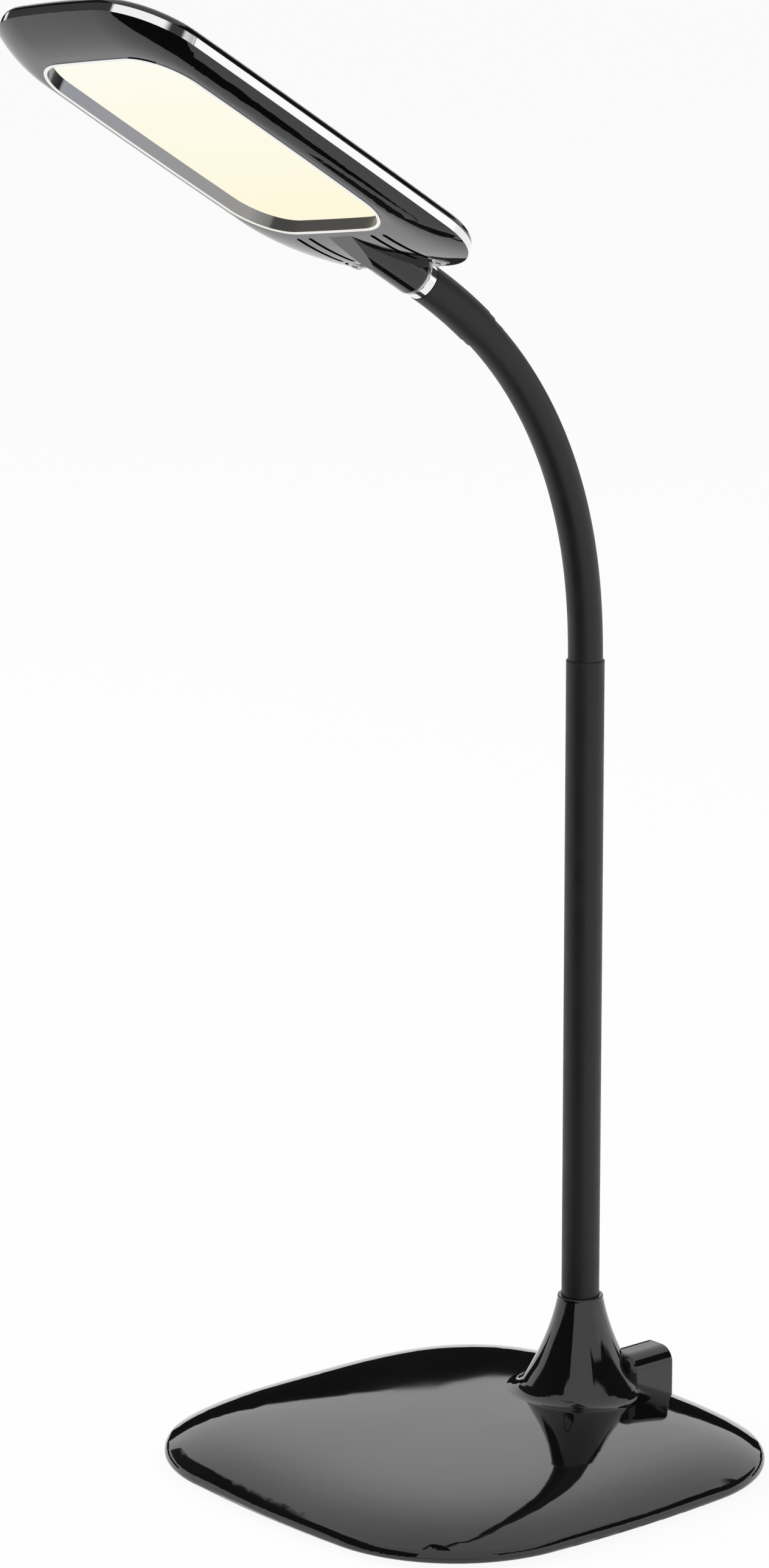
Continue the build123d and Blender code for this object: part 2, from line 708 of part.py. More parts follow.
def head_pieces():
    frame = head_frame()
    save("head_bottom_shell", frame * bottom_shell())
    save("head_top_cover", frame * top_cover())
    band = slab(head_outline(), band_low, band_high) - slab(head_outline(band_thick), 0, cover_top)
    save("head_side_band", frame * (band - shroud_room(band_gap)))
    wall = slab(opening_outline(bezel_wall - seat_gap), -bezel_proud, recess_depth)
    flange = slab(opening_outline(bezel_flange), -bezel_proud, 0.0)
    bezel = wall + flange - slab(opening_outline(), -5, recess_depth + 5)
    save("bezel_ring", frame * bezel)
    light_pieces(frame)
    pocket = Pos(0, 0, pocket_top) * Rot(180, 0, 0)
    fastener = pocket * screw(head_screw_head_r, head_screw_head_h, head_screw_r, head_screw_length)
    save("head_screws", *[frame * Pos(side * screw_x, screw_y, 0) * fastener for side in (-1, 1)])


def light_pieces(frame):
    """Stack above the opening: diffuser, edge-lit guide, reflector and heat spreader."""
    guide_low = recess_depth + diffuser_thick
    guide_high = guide_low + guide_thick
    spreader_low = guide_high + reflector_thick
    spreader_high = spreader_low + spreader_thick
    save("diffuser", frame * slab(opening_outline(diffuser_margin), recess_depth, guide_low))
    save("light_guide", frame * slab(opening_outline(guide_margin), guide_low, guide_high))
    save("reflector_sheet", frame * slab(opening_outline(diffuser_margin), guide_high, spreader_low))
    save("heat_spreader", frame * slab(opening_outline(diffuser_margin), spreader_low, spreader_high))
    strips, leds = [], []
    strip_x = open_half_width + diffuser_margin - led_strip_thick / 2 - stack_gap / 2
    led_x = strip_x - led_strip_thick / 2 - led_depth / 2
    span = 2 * (open_half_length - led_span_short)
    height = (guide_low + guide_high) / 2
    for side in (-1, 1):
        strips.append(Pos(side * strip_x, 0, height) * Box(led_strip_thick, span, guide_thick))
        for i in range(leds_per_side):
            along = -span / 2 + (i + 0.5) * span / leds_per_side
            leds.append(Pos(side * led_x, along, height) * Box(led_depth, 2 * led_size, led_size))
    save("led_strips", *[frame * strip for strip in strips])
    save("led_chips", *[frame * led for led in leds])


base_pieces()
port_pieces()
arm_pieces()
head_pieces()
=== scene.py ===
# %% [markdown]
# # A gooseneck desk lamp
#
# The lamp has a rounded-square base in piano-black plastic, a straight stem in a soft-touch sleeve, a flexible
# neck under a rubber skin, and a flat light head with a bright side band and a recessed light panel. The solid
# model holds every piece at its real size. This script loads it, keeps the hard pieces, whose shapes are already
# right, and gives each a finish. It makes a new skin for the neck, because the rubber has to bend smoothly with
# the links inside it. Lengths are in millimetres until a mesh is made, and Blender gets metres.

# %% Load the solid model and keep its box
import json
import math

import bpy
import numpy as np
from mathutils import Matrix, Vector


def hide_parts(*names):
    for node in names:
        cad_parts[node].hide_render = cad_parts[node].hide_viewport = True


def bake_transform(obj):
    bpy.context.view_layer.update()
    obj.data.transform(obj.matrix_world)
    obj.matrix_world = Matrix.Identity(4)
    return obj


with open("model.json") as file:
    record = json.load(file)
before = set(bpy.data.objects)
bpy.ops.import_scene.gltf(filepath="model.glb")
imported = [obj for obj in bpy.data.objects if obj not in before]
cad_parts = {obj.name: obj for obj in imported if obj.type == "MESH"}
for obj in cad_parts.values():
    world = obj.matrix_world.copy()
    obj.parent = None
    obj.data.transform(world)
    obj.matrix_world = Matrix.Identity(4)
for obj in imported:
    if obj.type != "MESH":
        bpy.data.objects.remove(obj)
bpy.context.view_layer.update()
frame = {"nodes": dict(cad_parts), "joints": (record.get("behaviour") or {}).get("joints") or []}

MM = 0.001
nodes = frame["nodes"]
joints = {joint["name"]: joint for joint in frame["joints"]}
print("nodes:", len(nodes), "joints:", len(joints))

# %% [markdown]
# ## A surface as a grid
#
# A length of rubber skin is a closed tube with a wall. It is a surface over two parameters: one runs round the
# tube, and the other runs along the outside and back along the inside, so it ends where it began and leaves no
# hole. Numpy works out all the points at once, and one helper turns such a grid into a mesh. The helper also
# measures the signed volume, and turns all faces round if it is negative, so that every face points outwards.

# %% Mesh from a grid of points
def grid_faces(rows, cols, close_rows, close_cols):
    """Corner numbers of the cells between neighbouring rows and columns, four for each cell."""
    r = np.arange(rows if close_rows else rows - 1)[:, None]
    c = np.arange(cols if close_cols else cols - 1)[None, :]
    r_next, c_next = (r + 1) % rows, (c + 1) % cols
    cells = np.stack([r * cols + c, r * cols + c_next, r_next * cols + c_next, r_next * cols + c], axis=-1)
    return cells.reshape(-1, 4)


def signed_volume(points, faces):
    """Sum of the tetrahedra between the origin and each face: positive when the faces point outwards."""
    fan = [faces[:, [0, k, k + 1]] for k in range(1, faces.shape[1] - 1)]
    corners = points[np.concatenate(fan)]
    return np.einsum("ij,ij->i", corners[:, 0], np.cross(corners[:, 1], corners[:, 2])).sum() / 6


def piece_from_grid(name, grid, crease):
    """Object from a grid (rows along the profile, columns round the piece, xyz in millimetres).

    Rows and columns both close into rings. Edges that turn by more than crease degrees stay sharp.
    """
    rows, cols = grid.shape[:2]
    points = grid.reshape(-1, 3)
    faces = grid_faces(rows, cols, close_rows=True, close_cols=True)
    volume = signed_volume(points, faces)
    if volume < 0:
        faces = faces[:, ::-1]
    mesh = bpy.data.meshes.new(name)
    mesh.from_pydata((points * MM).tolist(), [], faces.tolist())
    mesh.polygons.foreach_set("use_smooth", np.ones(len(mesh.polygons), bool))
    mesh.set_sharp_from_angle(angle=math.radians(crease))
    piece = bpy.data.objects.new(name, mesh)
    bpy.context.scene.collection.objects.link(piece)
    print(f"{name}: {len(mesh.polygons)} faces, {abs(volume) / 1000:.2f} cm3")
    return piece

# %% [markdown]
# ## Finishes
#
# Each finish is a short shader recipe. A single colour never looks real, so every recipe spreads a little noise
# over the surface: it changes the colour slightly, opens and closes the gloss, and raises a fine grain. The
# pattern sits on Object coordinates, so it stays fixed to the piece. The numbers that hold all over a surface
# are set on the shader's own sockets.

# %% One helper for all finishes
NOISE_LOW, NOISE_HIGH = 0.3, 0.7
RELIEF_DEPTH = 0.0002


def noise_texture(tree, coordinates, scale, detail=3.0, stretch=(1.0, 1.0, 1.0)):
    """Noise of a given scale per metre, stretched along the axes if wanted."""
    mapping = tree.nodes.new("ShaderNodeMapping")
    mapping.inputs["Scale"].default_value = stretch
    tree.links.new(coordinates, mapping.inputs["Vector"])
    noise = tree.nodes.new("ShaderNodeTexNoise")
    noise.inputs["Scale"].default_value = scale
    noise.inputs["Detail"].default_value = detail
    tree.links.new(mapping.outputs["Vector"], noise.inputs["Vector"])
    return noise


def finish(name, colour, spread=0.15, roughness=(0.3, 0.4), metallic=0.0, coat=0.0, coat_roughness=0.03,
           patch=60.0, grain=900.0, bump=0.02, stretch=(1.0, 1.0, 1.0), specular=0.5):
    """Material whose colour, gloss and relief all follow noise.

    colour is the middle colour and spread how far it drifts; roughness gives the lowest and highest value;
    patch and grain are the scales of the slow and the fine noise; bump is the strength of the relief; stretch
    makes the noise longer along an axis where its number is small.
    """
    material = bpy.data.materials.new(name)
    material.use_nodes = True
    tree = material.node_tree
    shader = tree.nodes["Principled BSDF"]
    shader.inputs["Metallic"].default_value = metallic
    shader.inputs["Specular IOR Level"].default_value = specular
    shader.inputs["Coat Weight"].default_value = coat
    shader.inputs["Coat Roughness"].default_value = coat_roughness
    place = tree.nodes.new("ShaderNodeTexCoord").outputs["Object"]
    slow = noise_texture(tree, place, patch, stretch=stretch)
    fine = noise_texture(tree, place, grain, stretch=stretch)
    ramp = tree.nodes.new("ShaderNodeValToRGB")
    low, high = ramp.color_ramp.elements
    low.position, high.position = NOISE_LOW, NOISE_HIGH
    low.color = (*[c * (1 - spread) for c in colour], 1.0)
    high.color = (*[min(c * (1 + spread), 1.0) for c in colour], 1.0)
    tree.links.new(slow.outputs["Fac"], ramp.inputs["Fac"])
    tree.links.new(ramp.outputs["Color"], shader.inputs["Base Color"])
    gloss = tree.nodes.new("ShaderNodeMapRange")
    gloss.inputs["From Min"].default_value, gloss.inputs["From Max"].default_value = NOISE_LOW, NOISE_HIGH
    gloss.inputs["To Min"].default_value, gloss.inputs["To Max"].default_value = roughness
    tree.links.new(slow.outputs["Fac"], gloss.inputs["Value"])
    tree.links.new(gloss.outputs["Result"], shader.inputs["Roughness"])
    if bump:
        relief = tree.nodes.new("ShaderNodeBump")
        relief.inputs["Strength"].default_value = bump
        relief.inputs["Distance"].default_value = RELIEF_DEPTH
        tree.links.new(fine.outputs["Fac"], relief.inputs["Height"])
        tree.links.new(relief.outputs["Normal"], shader.inputs["Normal"])
    return material


def dress(piece, material):
    """Gives a piece one material."""
    piece.data.materials.clear()
    piece.data.materials.append(material)
    return piece

# %% [markdown]
# ## Plastics and rubbers
#
# The piano-black shells are dark plastic under a polished skin. A clear coat over the plastic gives a second
# mirror layer, which is what makes such a black look deep. The relief is almost nothing: moulded gloss shows a
# faint waviness and no grain. The rubbers are just as dark, but rough, so light only brushes their rims.

# %% Plastics and rubbers
piano_black = finish("piano_black", (0.0035, 0.0035, 0.004), spread=0.3, roughness=(0.03, 0.06), coat=0.35,
                     coat_roughness=0.02, patch=25.0, grain=60.0, bump=0.0012)
soft_touch = finish("soft_touch_black", (0.006, 0.006, 0.007), spread=0.2, roughness=(0.42, 0.50),
                    patch=120.0, grain=2600.0, bump=0.10, specular=0.45)
skin_rubber = finish("skin_rubber", (0.006, 0.006, 0.0065), spread=0.2, roughness=(0.40, 0.48),
                     patch=140.0, grain=2200.0, bump=0.08, specular=0.45)
pad_rubber = finish("pad_rubber", (0.030, 0.030, 0.031), spread=0.25, roughness=(0.75, 0.9),
                    patch=300.0, grain=1500.0, bump=0.5)
black_nylon = finish("black_nylon", (0.020, 0.020, 0.021), spread=0.2, roughness=(0.35, 0.5),
                     patch=400.0, grain=3000.0, bump=0.15)
cable_black = finish("cable_black", (0.025, 0.025, 0.025), spread=0.15, roughness=(0.45, 0.6), patch=300.0,
                     grain=2000.0, bump=0.1)

print("plastics and rubbers:", len(bpy.data.materials))

# %% [markdown]
# ## Metals
#
# A metal has no colour under its surface: its own colour tints what it mirrors. Chrome is nearly a perfect
# mirror, zinc and aluminium are duller and drawn or rolled in one direction, and a cast plate is rough all over.
# Stretched noise gives the marks of drawing and rolling without a picture of them.

# %% Metals
CHROME = (0.86, 0.86, 0.87)
CHROME_RECIPE = {"spread": 0.02, "roughness": (0.03, 0.06), "metallic": 1.0, "patch": 40.0, "grain": 300.0,
                 "bump": 0.008}
bright_chrome = finish("bright_chrome", CHROME, **CHROME_RECIPE)
zinc_steel = finish("zinc_steel", (0.52, 0.53, 0.54), spread=0.12, roughness=(0.25, 0.38), metallic=1.0,
                    patch=220.0, grain=1600.0, bump=0.08, stretch=(1.0, 1.0, 0.2))
painted_steel = finish("painted_steel", (0.030, 0.030, 0.031), spread=0.15, roughness=(0.38, 0.5), patch=200.0,
                       grain=1200.0, bump=0.25)
cast_iron = finish("cast_iron", (0.10, 0.10, 0.105), spread=0.35, roughness=(0.6, 0.8), metallic=1.0,
                   patch=140.0, grain=700.0, bump=0.6)
plated_pin = finish("plated_pin", (0.80, 0.62, 0.30), spread=0.08, roughness=(0.15, 0.25), metallic=1.0,
                    patch=500.0, grain=2500.0, bump=0.04)
rolled_aluminium = finish("rolled_aluminium", (0.74, 0.75, 0.76), spread=0.06, roughness=(0.25, 0.38),
                          metallic=1.0, patch=160.0, grain=1400.0, bump=0.06, stretch=(0.1, 1.0, 1.0))

print("with metals:", len(bpy.data.materials))

# %% [markdown]
# ## Boards, films and the light stack
#
# Inside the lamp are two circuit boards, a touch film on foam, and the stack that spreads the light: strips with
# phosphor-yellow chips shine into the edge of an acrylic guide in front of a white sheet. They are hidden in the
# closed lamp, but a piece that is taken out should still look like what it is.

# %% Boards, films and the light stack
board_green = finish("board_green", (0.020, 0.110, 0.045), spread=0.3, roughness=(0.25, 0.4), coat=0.4,
                     patch=500.0, grain=1500.0, bump=0.1)
sensor_film = finish("sensor_film", (0.50, 0.26, 0.05), spread=0.2, roughness=(0.2, 0.3), patch=300.0,
                     grain=1200.0, bump=0.03)
grey_foam = finish("grey_foam", (0.22, 0.22, 0.23), spread=0.3, roughness=(0.85, 0.95), patch=900.0,
                   grain=2500.0, bump=0.8)
strip_white = finish("strip_white", (0.80, 0.80, 0.77), spread=0.04, roughness=(0.4, 0.5), patch=300.0,
                     grain=1200.0, bump=0.03)
phosphor_yellow = finish("phosphor_yellow", (0.85, 0.68, 0.18), spread=0.1, roughness=(0.4, 0.5), patch=900.0,
                         grain=2500.0, bump=0.05)
white_sheet = finish("white_sheet", (0.88, 0.88, 0.87), spread=0.02, roughness=(0.5, 0.6), patch=200.0,
                     grain=1500.0, bump=0.03)
clear_acrylic = finish("clear_acrylic", (0.90, 0.93, 0.93), spread=0.02, roughness=(0.04, 0.08), patch=100.0,
                       grain=600.0, bump=0.01)
clear_acrylic.node_tree.nodes["Principled BSDF"].inputs["Transmission Weight"].default_value = 0.9
print("finishes:", len(bpy.data.materials))

# %% [markdown]
# ## The inner pieces
#
# Screws, tube, links and boards keep the shapes of the solid model. A table from finish to names says who wears
# what, which is easier to read and to change than one line for each piece.

# %% Finishes for the inner pieces
kept = {
    painted_steel: ["bottom_plate"],
    pad_rubber: ["rubber_pad"],
    zinc_steel: ["base_screws", "stem_socket", "socket_screws", "stem_tube", "neck_spigot",
                 "spigot_clip", "head_screws", *[f"gooseneck_core_{i:02d}" for i in range(11)]],
    cast_iron: ["ballast_weight"],
    black_nylon: ["board_standoffs", "power_inlet", "inlet_terminal"],
    plated_pin: ["inlet_pin"],
    board_green: ["control_board", "port_board"],
    sensor_film: ["touch_film"],
    grey_foam: ["touch_foam"],
    cable_black: ["stem_cable"],
    clear_acrylic: ["light_guide"],
    strip_white: ["led_strips"],
    phosphor_yellow: ["led_chips"],
    white_sheet: ["reflector_sheet"],
    rolled_aluminium: ["heat_spreader"],
}
for material, names in kept.items():
    for name in names:
        dress(nodes[name], material)
print("solid pieces dressed:", sum(len(names) for names in kept.values()))

# %% [markdown]
# ## The arm's path
#
# The stem is straight, and above its sleeve the neck bends forwards through ten short links. The rubber skin has
# to run smoothly over all of them, so the script works out the same path as the solid model: each link turns a
# little more than the last, and the headings follow a power curve of the distance along the neck.

# %% Joint places along the neck
ARM_TURN = math.radians(5.4)
STEM_Y = 50.8
SLEEVE_TOP = 260.8
LINKS = 10
BEND_LENGTH, BEND_ANGLE, BEND_POWER = 122.7, 46.2, 1.217
PITCH = BEND_LENGTH / LINKS

forward = np.array([-math.sin(ARM_TURN), -math.cos(ARM_TURN), 0.0])
across = np.array([math.cos(ARM_TURN), -math.sin(ARM_TURN), 0.0])
up = np.array([0.0, 0.0, 1.0])
stem = np.array([0.0, STEM_Y, 0.0])

headings = np.radians(BEND_ANGLE * (np.arange(1, LINKS + 1) / LINKS) ** BEND_POWER)
steps = np.outer(np.sin(headings), forward) + np.outer(np.cos(headings), up)
first_joint = stem + (SLEEVE_TOP + PITCH / 2) * up
neck_joints = first_joint + PITCH * np.vstack([np.zeros(3), np.cumsum(steps[:-1], axis=0)])
print("last joint at", neck_joints[-1].round(2), "mm, heading", round(math.degrees(headings[-1]), 1))

# %% [markdown]
# ## A tube carried along a path
#
# A rubber tube is a ring that travels along a line and stays square to it. Two directions span the ring: one is
# level and the same all the way, because this neck bends in one plane, and the other is square to both it and the
# path. That keeps the tube free of twist.

# %% A tube carried along a path
RING_POINTS = 64


def carried_tube(path, directions, side, profile):
    """Grid of a tube: each profile row has the number of a path point and a radius.

    Point = path(s) + r * (cos(a) * side + sin(a) * (direction x side)), for angle a round the tube.
    """
    place = [row for row, _ in profile]
    radius = np.array([r for _, r in profile])
    along = directions[place] / np.linalg.norm(directions[place], axis=1)[:, None]
    third = np.cross(along, side)
    angle = np.linspace(0, 2 * np.pi, RING_POINTS, endpoint=False)[None, :, None]
    ring = np.cos(angle) * side + np.sin(angle) * third[:, None, :]
    return path[place][:, None, :] + radius[:, None, None] * ring

# %% [markdown]
# ## The neck's skin
#
# On the real lamp one rubber tube covers the whole chain, and it bends with it. One mesh can only bend across one
# joint here, so the skin is made of ten lengths that meet in the middle of each link, where nothing bends, and an
# eleventh that the solid model gives. The line through each length is a parabola from one link's middle to the
# next, with the joint as its control point: it leaves and arrives along the links, so the lengths join without a
# kink. Each length is a closed tube with a wall, and curves smoothly round its own joint.

# %% Lengths of skin between the middles of the links
SKIN_R, CORE_R = 5.67, 4.92
PATH_POINTS, SKIN_CREASE = 25, 50


def skin_length(name, start, joint, end):
    """Closed tube along a parabola, with its wall turned inwards at both ends.

    Path(t) = (1 - t)^2 * start + 2 t (1 - t) * joint + t^2 * end, and its direction is the slope of that line.
    """
    t = np.linspace(0, 1, PATH_POINTS)[:, None]
    path = (1 - t) ** 2 * start + 2 * t * (1 - t) * joint + t**2 * end
    directions = (1 - t) * (joint - start) + t * (end - joint)
    rows = np.arange(PATH_POINTS)
    outside = [(row, SKIN_R) for row in rows]
    inside = [(row, CORE_R) for row in rows[::-1]]
    return piece_from_grid(name, carried_tube(path, directions, across, outside + inside), SKIN_CREASE)


middles = [neck_joints[0] - PITCH / 2 * up]
for joint, step in zip(neck_joints, steps):
    middles.append(joint + PITCH / 2 * step)
for i in range(LINKS):
    piece = skin_length(f"neck_skin_{i + 1:02d}", middles[i], neck_joints[i], middles[i + 1])
    dress(piece, skin_rubber)
    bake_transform(piece)
    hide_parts(f"gooseneck_cover_{i:02d}")
dress(nodes["gooseneck_cover_10"], skin_rubber)

# %% [markdown]
# ## Sleeve, cuff and gloss shells
#
# The sleeve over the stem and the cuff at the neck's end are coated with the same soft-touch black. The base and
# both halves of the head are moulded in high-gloss black, and the ring and the band round the head are chrome
# plated. Their shapes in the solid model are right as they are, so they only get better finishes.

# %% Sleeve, cuff, gloss shells and chrome
for name in ["stem_sleeve", "neck_cuff"]:
    dress(nodes[name], soft_touch)
for name in ["base_shell", "head_bottom_shell", "head_top_cover"]:
    dress(nodes[name], piano_black)
for name in ["neck_ring", "head_side_band"]:
    dress(nodes[name], bright_chrome)
print("soft-touch, gloss and chrome pieces dressed")

# %% [markdown]
# ## The head's own axes
#
# The head is tilted and turned, so heights and lengths in it are measured along its own axes. They come from the
# twist joint: the joint's axis runs along the head, and the head is rolled a little about it.

# %% Axes and origin of the head
HEAD_ROLL = math.radians(10.47)
RING_START, NECK_HEIGHT = 70.5, 3.8
twist = joints["head_twist"]
along_head = -np.array(twist["axis"])
lifted = np.cross(-along_head, across)
out_of_head = -math.sin(HEAD_ROLL) * across + math.cos(HEAD_ROLL) * lifted
head_origin = np.array(twist["pos_m"]) - (RING_START * along_head + NECK_HEIGHT * out_of_head) * MM
print("head origin", head_origin.round(4), "along", along_head.round(3), "upwards", out_of_head.round(3))


def head_distance(tree, axis):
    """Distance from the head's origin along one of its axes, in metres, for use in a material."""
    place = tree.nodes.new("ShaderNodeTexCoord").outputs["Object"]
    dot = tree.nodes.new("ShaderNodeVectorMath")
    dot.operation = "DOT_PRODUCT"
    dot.inputs[1].default_value = axis.tolist()
    tree.links.new(place, dot.inputs[0])
    shift = tree.nodes.new("ShaderNodeMath")
    shift.operation = "SUBTRACT"
    shift.inputs[1].default_value = float(head_origin @ axis)
    tree.links.new(dot.outputs["Value"], shift.inputs[0])
    return shift.outputs[0]

# %% [markdown]
# ## The ring round the light opening
#
# One ring lines the opening. Its thin lip is polished chrome, and the wall that goes up to the diffuser is the same
# chrome darkened by a painted reflection, slightly blue. The lip lies below the wall, so the height in the head
# decides which colour shows. A wall as smooth as this mirrors the room, and dark things in a real room show at its
# ends. The studio has none there, so the painted reflection stands in for them: it is darkest at the rear wall and
# in a stripe at each front corner, and a list of greys along the head gives its depth.

# %% Chrome lip and painted reflection on one ring
LIP_SPLIT = -0.0001
# Painted reflection: slightly blue greys along the head darken the wall's colour where dark room parts would
# mirror.
PAINTED_REFLECTION_TINT = (1.0, 1.04, 1.3)
WALL_PAINTED_REFLECTION = [(-0.0540, 0.42), (-0.0480, 0.40), (-0.0465, 0.16), (-0.0445, 0.26), (-0.0432, 0.03),
               (-0.0388, 0.02), (-0.0378, 0.365), (0.0425, 0.365), (0.0480, 0.22), (0.0486, 0.07), (0.0540, 0.07)]


def chrome_lip_painted_wall(name, split, lip, shades):
    """Chrome recipe whose colour changes at a height in the head, from the plain lip to a wall with a painted
    reflection.

    shades lists (distance along the head in metres, grey): the painted reflection in the wall's colour between the
    head's two ends.
    """
    material = finish(name, lip, **CHROME_RECIPE)
    tree = material.node_tree
    shader = tree.nodes["Principled BSDF"]
    plain = shader.inputs["Base Color"].links[0].from_socket
    height = head_distance(tree, out_of_head)
    share = tree.nodes.new("ShaderNodeMath")
    share.operation = "GREATER_THAN"
    share.inputs[1].default_value = split
    tree.links.new(height, share.inputs[0])
    mix = tree.nodes.new("ShaderNodeMix")
    mix.data_type = "RGBA"
    mix.blend_type = "MULTIPLY"
    start, end = shades[0][0], shades[-1][0]
    place = tree.nodes.new("ShaderNodeMapRange")
    place.inputs["From Min"].default_value, place.inputs["From Max"].default_value = start, end
    tree.links.new(head_distance(tree, along_head), place.inputs["Value"])
    # This ramp paints the reflection of dark room parts into the wall's colour.
    painted_reflection = tree.nodes.new("ShaderNodeValToRGB")
    for distance, _ in shades[1:-1]:
        painted_reflection.color_ramp.elements.new((distance - start) / (end - start))
    for element, (_, grey) in zip(painted_reflection.color_ramp.elements, shades):
        element.color = (*[grey * tint for tint in PAINTED_REFLECTION_TINT], 1.0)
    tree.links.new(place.outputs["Result"], painted_reflection.inputs["Fac"])
    tree.links.new(share.outputs[0], mix.inputs["Factor"])
    tree.links.new(plain, mix.inputs["A"])
    tree.links.new(painted_reflection.outputs["Color"], mix.inputs["B"])
    tree.links.new(mix.outputs["Result"], shader.inputs["Base Color"])
    return material


# The ring's wall gets a painted reflection, and its lip stays plain chrome.
dress(nodes["bezel_ring"], chrome_lip_painted_wall("ring_painted_reflection", LIP_SPLIT, CHROME, WALL_PAINTED_REFLECTION))
print("bezel ring: lip below", LIP_SPLIT / MM, "mm, wall in", len(WALL_PAINTED_REFLECTION), "shades")

# %% [markdown]
# ## The glowing diffuser
#
# The diffuser is an opal sheet in front of a light guide. It glows a warm white, a little warmer towards the neck,
# where the light strips end. The glow stays just below full white, so that its colour is kept, and slow noise
# lets it drift as it does in real sheets.

# %% Glowing sheet
PANEL_END = 0.054
GLOW_DRIFT = 0.3
GLOW_PATCH = 12.0


def glowing_sheet(name, front, rear, strength):
    """Emission that goes from one colour to another along the head, drifting with slow noise.

    Share of the rear colour = distance along the head, from 0 to 1, + GLOW_DRIFT * (noise - 0.5).
    """
    material = bpy.data.materials.new(name)
    material.use_nodes = True
    tree = material.node_tree
    shader = tree.nodes["Principled BSDF"]
    shader.inputs["Base Color"].default_value = (0.02, 0.02, 0.019, 1.0)
    shader.inputs["Roughness"].default_value = 0.5
    shader.inputs["Specular IOR Level"].default_value = 0.0
    shader.inputs["Emission Strength"].default_value = strength
    slow = noise_texture(tree, tree.nodes.new("ShaderNodeTexCoord").outputs["Object"], GLOW_PATCH)
    share = tree.nodes.new("ShaderNodeMapRange")
    share.inputs["From Min"].default_value, share.inputs["From Max"].default_value = -PANEL_END, PANEL_END
    share.inputs["To Min"].default_value = -GLOW_DRIFT / 2
    share.inputs["To Max"].default_value = 1 - GLOW_DRIFT / 2
    share.clamp = False
    tree.links.new(head_distance(tree, along_head), share.inputs["Value"])
    drift = tree.nodes.new("ShaderNodeMath")
    drift.operation = "MULTIPLY_ADD"
    drift.inputs[1].default_value = GLOW_DRIFT
    tree.links.new(slow.outputs["Fac"], drift.inputs[0])
    tree.links.new(share.outputs["Result"], drift.inputs[2])
    ramp = tree.nodes.new("ShaderNodeValToRGB")
    low, high = ramp.color_ramp.elements
    low.color, high.color = (*front, 1.0), (*rear, 1.0)
    tree.links.new(drift.outputs[0], ramp.inputs["Fac"])
    tree.links.new(ramp.outputs["Color"], shader.inputs["Emission Color"])
    return material


FRONT_GLOW, REAR_GLOW, GLOW_STRENGTH = (1.0, 0.985, 0.89), (1.0, 0.94, 0.72), 0.98
dress(nodes["diffuser"], glowing_sheet("glowing_diffuser", FRONT_GLOW, REAR_GLOW, GLOW_STRENGTH))
print("diffuser glows from", FRONT_GLOW, "to", REAR_GLOW)

# %% [markdown]
# ## Camera
#
# The lens is long, so the upright stem and the near corner of the base keep almost parallel lines. The camera
# stands to the right of the lamp and in front of it, and looks down at it by fourteen degrees.

# %% Camera
CAMERA_PLACE = Vector((1.4423, -1.2606, 0.7052))
CAMERA_PITCH = math.radians(14.0)
TO_CAMERA, TO_RIGHT = np.array([0.7618, -0.6478]), np.array([0.6478, 0.7618])

camera_data = bpy.data.cameras.new("camera")
camera_data.sensor_fit = "VERTICAL"
camera_data.sensor_height = 36.0
camera_data.lens = 142.5
camera_data.clip_start = 0.1
camera_data.clip_end = 50.0
camera = bpy.data.objects.new("camera", camera_data)
bpy.context.scene.collection.objects.link(camera)
away = Vector((*-TO_CAMERA, 0.0))
look = away * math.cos(CAMERA_PITCH) - Vector((0, 0, math.sin(CAMERA_PITCH)))
camera.location = CAMERA_PLACE
camera.rotation_euler = look.to_track_quat("-Z", "Y").to_euler()
bpy.context.scene.camera = camera
print("camera looks along", [round(v, 3) for v in look])

# %% [markdown]
# ## World and floor
#
# A gloss black lamp shows what stands round it, so the studio is part of its finish. The world is white to the
# camera and in reflections, and weaker as a lamp. The floor works the same way: it looks white, and still keeps
# the lamp's soft shadow, because a share of it stays an ordinary matt white surface.

# %% Rays that should see plain white
def seen_share(tree, share=1.0):
    """Output that is share for camera, glossy and transmission rays, and 0 for the rays that light the object."""
    kind = tree.nodes.new("ShaderNodeLightPath")
    total = kind.outputs["Is Camera Ray"]
    for name in ("Is Glossy Ray", "Is Transmission Ray"):
        larger = tree.nodes.new("ShaderNodeMath")
        larger.operation = "MAXIMUM"
        tree.links.new(total, larger.inputs[0])
        tree.links.new(kind.outputs[name], larger.inputs[1])
        total = larger.outputs[0]
    scaled = tree.nodes.new("ShaderNodeMath")
    scaled.operation = "MULTIPLY"
    scaled.inputs[1].default_value = share
    tree.links.new(total, scaled.inputs[0])
    return scaled.outputs[0]


def mixed(tree, share, first, second, target):
    """Mix of two shaders, joined to the target socket."""
    mix = tree.nodes.new("ShaderNodeMixShader")
    tree.links.new(share, mix.inputs["Fac"])
    tree.links.new(first, mix.inputs[1])
    tree.links.new(second, mix.inputs[2])
    tree.links.new(mix.outputs[0], target)

# %% White world
SKY_LIGHT = 0.42
WHITE = (1.0, 1.0, 1.0, 1.0)
world = bpy.data.worlds.new("studio")
world.use_nodes = True
bpy.context.scene.world = world
sky = world.node_tree
sky.nodes.clear()
sky_out = sky.nodes.new("ShaderNodeOutputWorld")
lighting_sky, seen_sky = [sky.nodes.new("ShaderNodeBackground") for _ in range(2)]
for background, strength in ((lighting_sky, SKY_LIGHT), (seen_sky, 1.0)):
    background.inputs["Color"].default_value = WHITE
    background.inputs["Strength"].default_value = strength
mixed(sky, seen_share(sky), lighting_sky.outputs[0], seen_sky.outputs[0], sky_out.inputs["Surface"])
print("sky lights with", SKY_LIGHT, "and is seen as 1.0")

